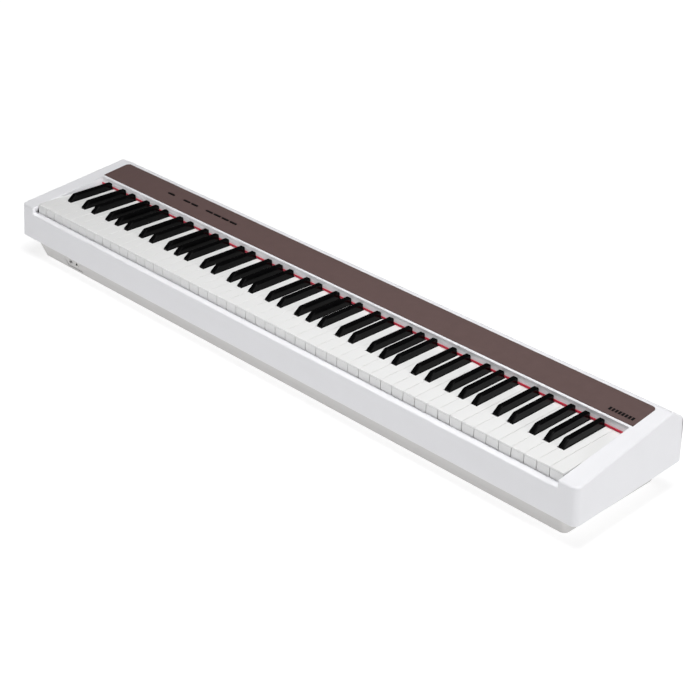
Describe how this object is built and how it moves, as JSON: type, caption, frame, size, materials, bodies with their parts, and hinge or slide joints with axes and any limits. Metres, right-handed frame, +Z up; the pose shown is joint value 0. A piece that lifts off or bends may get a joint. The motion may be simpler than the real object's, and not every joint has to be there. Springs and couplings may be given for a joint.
{
  "type": "digital piano",
  "caption": "Slab digital piano with a full-size keyboard, a white case, a brown control panel, a red felt strip and a grey lower tray.",
  "frame": {"origin": "on the resting surface under the feet, at the middle of the case", "axes": "+X towards the treble end, +Y towards the back of the case, +Z up"},
  "size_m": [1.3016, 0.267, 0.1363],
  "materials": {
    "case_white": "satin white moulding with a very fine grain",
    "tray_grey": "matt pale warm grey moulding",
    "panel_brown": "matt taupe brown plate with a fine speaker weave",
    "felt_red": "red felt",
    "chassis_steel": "bare sheet steel",
    "circuit_board": "green solder mask",
    "speaker_black": "black cone and basket",
    "socket_black": "black moulded sockets",
    "foot_rubber": "matt black rubber",
    "button_black": "near-black satin caps",
    "white_key": "polished white key plastic",
    "black_key": "satin black key plastic",
    "hammer_steel": "steel weight"
  },
  "bodies": {
    "case": {"top_case": "case_white", "bottom_case": "tray_grey", "control_panel": "panel_brown", "felt_strip": "felt_red", "key_chassis": "chassis_steel", "main_board": "circuit_board", "speaker_left": "speaker_black", "speaker_right": "speaker_black", "headphone_socket_box": "socket_black", "rear_jack_block": "socket_black", "rear_usb_power_block": "socket_black", "foot_front_left": "foot_rubber", "foot_front_right": "foot_rubber", "foot_rear_left": "foot_rubber", "foot_rear_right": "foot_rubber"},
    "key_c4": {"key_c4": "white_key"},
    "hammer_c4": {"hammer_c4": "hammer_steel"},
    "key_c_sharp4": {"key_c_sharp4": "black_key"},
    "hammer_c_sharp4": {"hammer_c_sharp4": "hammer_steel"},
    "key_d4": {"key_d4": "white_key"},
    "hammer_d4": {"hammer_d4": "hammer_steel"},
    "key_d_sharp4": {"key_d_sharp4": "black_key"},
    "hammer_d_sharp4": {"hammer_d_sharp4": "hammer_steel"},
    "key_e4": {"key_e4": "white_key"},
    "hammer_e4": {"hammer_e4": "hammer_steel"},
    "key_f4": {"key_f4": "white_key"},
    "hammer_f4": {"hammer_f4": "hammer_steel"},
    "key_f_sharp4": {"key_f_sharp4": "black_key"},
    "hammer_f_sharp4": {"hammer_f_sharp4": "hammer_steel"},
    "key_g4": {"key_g4": "white_key"},
    "hammer_g4": {"hammer_g4": "hammer_steel"},
    "key_g_sharp4": {"key_g_sharp4": "black_key"},
    "hammer_g_sharp4": {"hammer_g_sharp4": "hammer_steel"},
    "key_a4": {"key_a4": "white_key"},
    "hammer_a4": {"hammer_a4": "hammer_steel"},
    "key_a_sharp4": {"key_a_sharp4": "black_key"},
    "hammer_a_sharp4": {"hammer_a_sharp4": "hammer_steel"},
    "key_b4": {"key_b4": "white_key"},
    "hammer_b4": {"hammer_b4": "hammer_steel"},
    "white_keys_octave_0": {"white_keys_octave_0": "white_key"},
    "black_keys_octave_0": {"black_keys_octave_0": "black_key"},
    "white_keys_octave_1": {"white_keys_octave_1": "white_key"},
    "black_keys_octave_1": {"black_keys_octave_1": "black_key"},
    "white_keys_octave_2": {"white_keys_octave_2": "white_key"},
    "black_keys_octave_2": {"black_keys_octave_2": "black_key"},
    "white_keys_octave_3": {"white_keys_octave_3": "white_key"},
    "black_keys_octave_3": {"black_keys_octave_3": "black_key"},
    "white_keys_octave_5": {"white_keys_octave_5": "white_key"},
    "black_keys_octave_5": {"black_keys_octave_5": "black_key"},
    "white_keys_octave_6": {"white_keys_octave_6": "white_key"},
    "black_keys_octave_6": {"black_keys_octave_6": "black_key"},
    "white_keys_octave_7": {"white_keys_octave_7": "white_key"},
    "black_keys_octave_7": {"black_keys_octave_7": "black_key"},
    "power_button": {"power_button": "button_black"},
    "volume_down_button": {"volume_down_button": "button_black"},
    "volume_up_button": {"volume_up_button": "button_black"},
    "voice_button": {"voice_button": "button_black"},
    "metronome_button": {"metronome_button": "button_black"},
    "record_button": {"record_button": "button_black"},
    "play_button": {"play_button": "button_black"}
  },
  "joints": [
    {"name": "key_c4_hinge", "type": "hinge", "parent": "case", "child": "key_c4", "pos_m": [-0.063, 0.0935, 0.105], "axis": [1, 0, 0], "range_deg": [0, 2.65], "stiffness_Nm_per_rad": 0.5, "springref_deg": -17.19},
    {"name": "hammer_c4_hinge", "type": "hinge", "parent": "case", "child": "hammer_c4", "pos_m": [-0.063, -0.0205, 0.07], "axis": [1, 0, 0], "range_deg": [0, 12.12]},
    {"name": "key_c_sharp4_hinge", "type": "hinge", "parent": "case", "child": "key_c_sharp4", "pos_m": [-0.0495, 0.0775, 0.099], "axis": [1, 0, 0], "range_deg": [0, 3.2], "stiffness_Nm_per_rad": 0.35, "springref_deg": -17.19},
    {"name": "hammer_c_sharp4_hinge", "type": "hinge", "parent": "case", "child": "hammer_c_sharp4", "pos_m": [-0.0495, -0.0205, 0.07], "axis": [1, 0, 0], "range_deg": [0, 13]},
    {"name": "key_d4_hinge", "type": "hinge", "parent": "case", "child": "key_d4", "pos_m": [-0.03525, 0.0935, 0.105], "axis": [1, 0, 0], "range_deg": [0, 2.65], "stiffness_Nm_per_rad": 0.5, "springref_deg": -17.19},
    {"name": "hammer_d4_hinge", "type": "hinge", "parent": "case", "child": "hammer_d4", "pos_m": [-0.03525, -0.0205, 0.07], "axis": [1, 0, 0], "range_deg": [0, 12.12]},
    {"name": "key_d_sharp4_hinge", "type": "hinge", "parent": "case", "child": "key_d_sharp4", "pos_m": [-0.021, 0.0775, 0.099], "axis": [1, 0, 0], "range_deg": [0, 3.2], "stiffness_Nm_per_rad": 0.35, "springref_deg": -17.19},
    {"name": "hammer_d_sharp4_hinge", "type": "hinge", "parent": "case", "child": "hammer_d_sharp4", "pos_m": [-0.021, -0.0205, 0.07], "axis": [1, 0, 0], "range_deg": [0, 13]},
    {"name": "key_e4_hinge", "type": "hinge", "parent": "case", "child": "key_e4", "pos_m": [-0.0075, 0.0935, 0.105], "axis": [1, 0, 0], "range_deg": [0, 2.65], "stiffness_Nm_per_rad": 0.5, "springref_deg": -17.19},
    {"name": "hammer_e4_hinge", "type": "hinge", "parent": "case", "child": "hammer_e4", "pos_m": [-0.0075, -0.0205, 0.07], "axis": [1, 0, 0], "range_deg": [0, 12.12]},
    {"name": "key_f4_hinge", "type": "hinge", "parent": "case", "child": "key_f4", "pos_m": [0.00702, 0.0935, 0.105], "axis": [1, 0, 0], "range_deg": [0, 2.65], "stiffness_Nm_per_rad": 0.5, "springref_deg": -17.19},
    {"name": "hammer_f4_hinge", "type": "hinge", "parent": "case", "child": "hammer_f4", "pos_m": [0.00702, -0.0205, 0.07], "axis": [1, 0, 0], "range_deg": [0, 12.12]},
    {"name": "key_f_sharp4_hinge", "type": "hinge", "parent": "case", "child": "key_f_sharp4", "pos_m": [0.02005, 0.0775, 0.099], "axis": [1, 0, 0], "range_deg": [0, 3.2], "stiffness_Nm_per_rad": 0.35, "springref_deg": -17.19},
    {"name": "hammer_f_sharp4_hinge", "type": "hinge", "parent": "case", "child": "hammer_f_sharp4", "pos_m": [0.02005, -0.0205, 0.07], "axis": [1, 0, 0], "range_deg": [0, 13]},
    {"name": "key_g4_hinge", "type": "hinge", "parent": "case", "child": "key_g4", "pos_m": [0.03352, 0.0935, 0.105], "axis": [1, 0, 0], "range_deg": [0, 2.65], "stiffness_Nm_per_rad": 0.5, "springref_deg": -17.19},
    {"name": "hammer_g4_hinge", "type": "hinge", "parent": "case", "child": "hammer_g4", "pos_m": [0.03352, -0.0205, 0.07], "axis": [1, 0, 0], "range_deg": [0, 12.12]},
    {"name": "key_g_sharp4_hinge", "type": "hinge", "parent": "case", "child": "key_g_sharp4", "pos_m": [0.047, 0.0775, 0.099], "axis": [1, 0, 0], "range_deg": [0, 3.2], "stiffness_Nm_per_rad": 0.35, "springref_deg": -17.19},
    {"name": "hammer_g_sharp4_hinge", "type": "hinge", "parent": "case", "child": "hammer_g_sharp4", "pos_m": [0.047, -0.0205, 0.07], "axis": [1, 0, 0], "range_deg": [0, 13]},
    {"name": "key_a4_hinge", "type": "hinge", "parent": "case", "child": "key_a4", "pos_m": [0.06048, 0.0935, 0.105], "axis": [1, 0, 0], "range_deg": [0, 2.65], "stiffness_Nm_per_rad": 0.5, "springref_deg": -17.19},
    {"name": "hammer_a4_hinge", "type": "hinge", "parent": "case", "child": "hammer_a4", "pos_m": [0.06048, -0.0205, 0.07], "axis": [1, 0, 0], "range_deg": [0, 12.12]},
    {"name": "key_a_sharp4_hinge", "type": "hinge", "parent": "case", "child": "key_a_sharp4", "pos_m": [0.07395, 0.0775, 0.099], "axis": [1, 0, 0], "range_deg": [0, 3.2], "stiffness_Nm_per_rad": 0.35, "springref_deg": -17.19},
    {"name": "hammer_a_sharp4_hinge", "type": "hinge", "parent": "case", "child": "hammer_a_sharp4", "pos_m": [0.07395, -0.0205, 0.07], "axis": [1, 0, 0], "range_deg": [0, 13]},
    {"name": "key_b4_hinge", "type": "hinge", "parent": "case", "child": "key_b4", "pos_m": [0.08697, 0.0935, 0.105], "axis": [1, 0, 0], "range_deg": [0, 2.65], "stiffness_Nm_per_rad": 0.5, "springref_deg": -17.19},
    {"name": "hammer_b4_hinge", "type": "hinge", "parent": "case", "child": "hammer_b4", "pos_m": [0.08697, -0.0205, 0.07], "axis": [1, 0, 0], "range_deg": [0, 12.12]},
    {"name": "white_keys_octave_0_hinge", "type": "hinge", "parent": "case", "child": "white_keys_octave_0", "pos_m": [-0.5875, 0.0935, 0.105], "axis": [1, 0, 0], "range_deg": [0, 2.65], "stiffness_Nm_per_rad": 1, "springref_deg": -17.19},
    {"name": "black_keys_octave_0_hinge", "type": "hinge", "parent": "case", "child": "black_keys_octave_0", "pos_m": [-0.58405, 0.0775, 0.099], "axis": [1, 0, 0], "range_deg": [0, 3.2], "stiffness_Nm_per_rad": 0.35, "springref_deg": -17.19},
    {"name": "white_keys_octave_1_hinge", "type": "hinge", "parent": "case", "child": "white_keys_octave_1", "pos_m": [-0.48175, 0.0935, 0.105], "axis": [1, 0, 0], "range_deg": [0, 2.65], "stiffness_Nm_per_rad": 3.5, "springref_deg": -17.19},
    {"name": "black_keys_octave_1_hinge", "type": "hinge", "parent": "case", "child": "black_keys_octave_1", "pos_m": [-0.48128, 0.0775, 0.099], "axis": [1, 0, 0], "range_deg": [0, 3.2], "stiffness_Nm_per_rad": 1.75, "springref_deg": -17.19},
    {"name": "white_keys_octave_2_hinge", "type": "hinge", "parent": "case", "child": "white_keys_octave_2", "pos_m": [-0.31725, 0.0935, 0.105], "axis": [1, 0, 0], "range_deg": [0, 2.65], "stiffness_Nm_per_rad": 3.5, "springref_deg": -17.19},
    {"name": "black_keys_octave_2_hinge", "type": "hinge", "parent": "case", "child": "black_keys_octave_2", "pos_m": [-0.31677, 0.0775, 0.099], "axis": [1, 0, 0], "range_deg": [0, 3.2], "stiffness_Nm_per_rad": 1.75, "springref_deg": -17.19},
    {"name": "white_keys_octave_3_hinge", "type": "hinge", "parent": "case", "child": "white_keys_octave_3", "pos_m": [-0.15275, 0.0935, 0.105], "axis": [1, 0, 0], "range_deg": [0, 2.65], "stiffness_Nm_per_rad": 3.5, "springref_deg": -17.19},
    {"name": "black_keys_octave_3_hinge", "type": "hinge", "parent": "case", "child": "black_keys_octave_3", "pos_m": [-0.15227, 0.0775, 0.099], "axis": [1, 0, 0], "range_deg": [0, 3.2], "stiffness_Nm_per_rad": 1.75, "springref_deg": -17.19},
    {"name": "white_keys_octave_5_hinge", "type": "hinge", "parent": "case", "child": "white_keys_octave_5", "pos_m": [0.17625, 0.0935, 0.105], "axis": [1, 0, 0], "range_deg": [0, 2.65], "stiffness_Nm_per_rad": 3.5, "springref_deg": -17.19},
    {"name": "black_keys_octave_5_hinge", "type": "hinge", "parent": "case", "child": "black_keys_octave_5", "pos_m": [0.17672, 0.0775, 0.099], "axis": [1, 0, 0], "range_deg": [0, 3.2], "stiffness_Nm_per_rad": 1.75, "springref_deg": -17.19},
    {"name": "white_keys_octave_6_hinge", "type": "hinge", "parent": "case", "child": "white_keys_octave_6", "pos_m": [0.34075, 0.0935, 0.105], "axis": [1, 0, 0], "range_deg": [0, 2.65], "stiffness_Nm_per_rad": 3.5, "springref_deg": -17.19},
    {"name": "black_keys_octave_6_hinge", "type": "hinge", "parent": "case", "child": "black_keys_octave_6", "pos_m": [0.34123, 0.0775, 0.099], "axis": [1, 0, 0], "range_deg": [0, 3.2], "stiffness_Nm_per_rad": 1.75, "springref_deg": -17.19},
    {"name": "white_keys_octave_7_hinge", "type": "hinge", "parent": "case", "child": "white_keys_octave_7", "pos_m": [0.517, 0.0935, 0.105], "axis": [1, 0, 0], "range_deg": [0, 2.65], "stiffness_Nm_per_rad": 4, "springref_deg": -17.19},
    {"name": "black_keys_octave_7_hinge", "type": "hinge", "parent": "case", "child": "black_keys_octave_7", "pos_m": [0.50572, 0.0775, 0.099], "axis": [1, 0, 0], "range_deg": [0, 3.2], "stiffness_Nm_per_rad": 1.75, "springref_deg": -17.19},
    {"name": "power_button_press", "type": "slide", "parent": "case", "child": "power_button", "axis": [0, 0.1253, -0.9921], "range_m": [0, 0.0007], "stiffness_N_per_m": 800, "springref_m": -0.001},
    {"name": "volume_down_button_press", "type": "slide", "parent": "case", "child": "volume_down_button", "axis": [0, 0.1253, -0.9921], "range_m": [0, 0.0007], "stiffness_N_per_m": 800, "springref_m": -0.001},
    {"name": "volume_up_button_press", "type": "slide", "parent": "case", "child": "volume_up_button", "axis": [0, 0.1253, -0.9921], "range_m": [0, 0.0007], "stiffness_N_per_m": 800, "springref_m": -0.001},
    {"name": "voice_button_press", "type": "slide", "parent": "case", "child": "voice_button", "axis": [0, 0.1253, -0.9921], "range_m": [0, 0.0007], "stiffness_N_per_m": 800, "springref_m": -0.001},
    {"name": "metronome_button_press", "type": "slide", "parent": "case", "child": "metronome_button", "axis": [0, 0.1253, -0.9921], "range_m": [0, 0.0007], "stiffness_N_per_m": 800, "springref_m": -0.001},
    {"name": "record_button_press", "type": "slide", "parent": "case", "child": "record_button", "axis": [0, 0.1253, -0.9921], "range_m": [0, 0.0007], "stiffness_N_per_m": 800, "springref_m": -0.001},
    {"name": "play_button_press", "type": "slide", "parent": "case", "child": "play_button", "axis": [0, 0.1253, -0.9921], "range_m": [0, 0.0007], "stiffness_N_per_m": 800, "springref_m": -0.001}
  ],
  "couplings": [
    {"joint": "hammer_c4_hinge", "follows": "key_c4_hinge", "ratio": 4.5},
    {"joint": "hammer_c_sharp4_hinge", "follows": "key_c_sharp4_hinge", "ratio": 4},
    {"joint": "hammer_d4_hinge", "follows": "key_d4_hinge", "ratio": 4.5},
    {"joint": "hammer_d_sharp4_hinge", "follows": "key_d_sharp4_hinge", "ratio": 4},
    {"joint": "hammer_e4_hinge", "follows": "key_e4_hinge", "ratio": 4.5},
    {"joint": "hammer_f4_hinge", "follows": "key_f4_hinge", "ratio": 4.5},
    {"joint": "hammer_f_sharp4_hinge", "follows": "key_f_sharp4_hinge", "ratio": 4},
    {"joint": "hammer_g4_hinge", "follows": "key_g4_hinge", "ratio": 4.5},
    {"joint": "hammer_g_sharp4_hinge", "follows": "key_g_sharp4_hinge", "ratio": 4},
    {"joint": "hammer_a4_hinge", "follows": "key_a4_hinge", "ratio": 4.5},
    {"joint": "hammer_a_sharp4_hinge", "follows": "key_a_sharp4_hinge", "ratio": 4},
    {"joint": "hammer_b4_hinge", "follows": "key_b4_hinge", "ratio": 4.5}
  ]
}
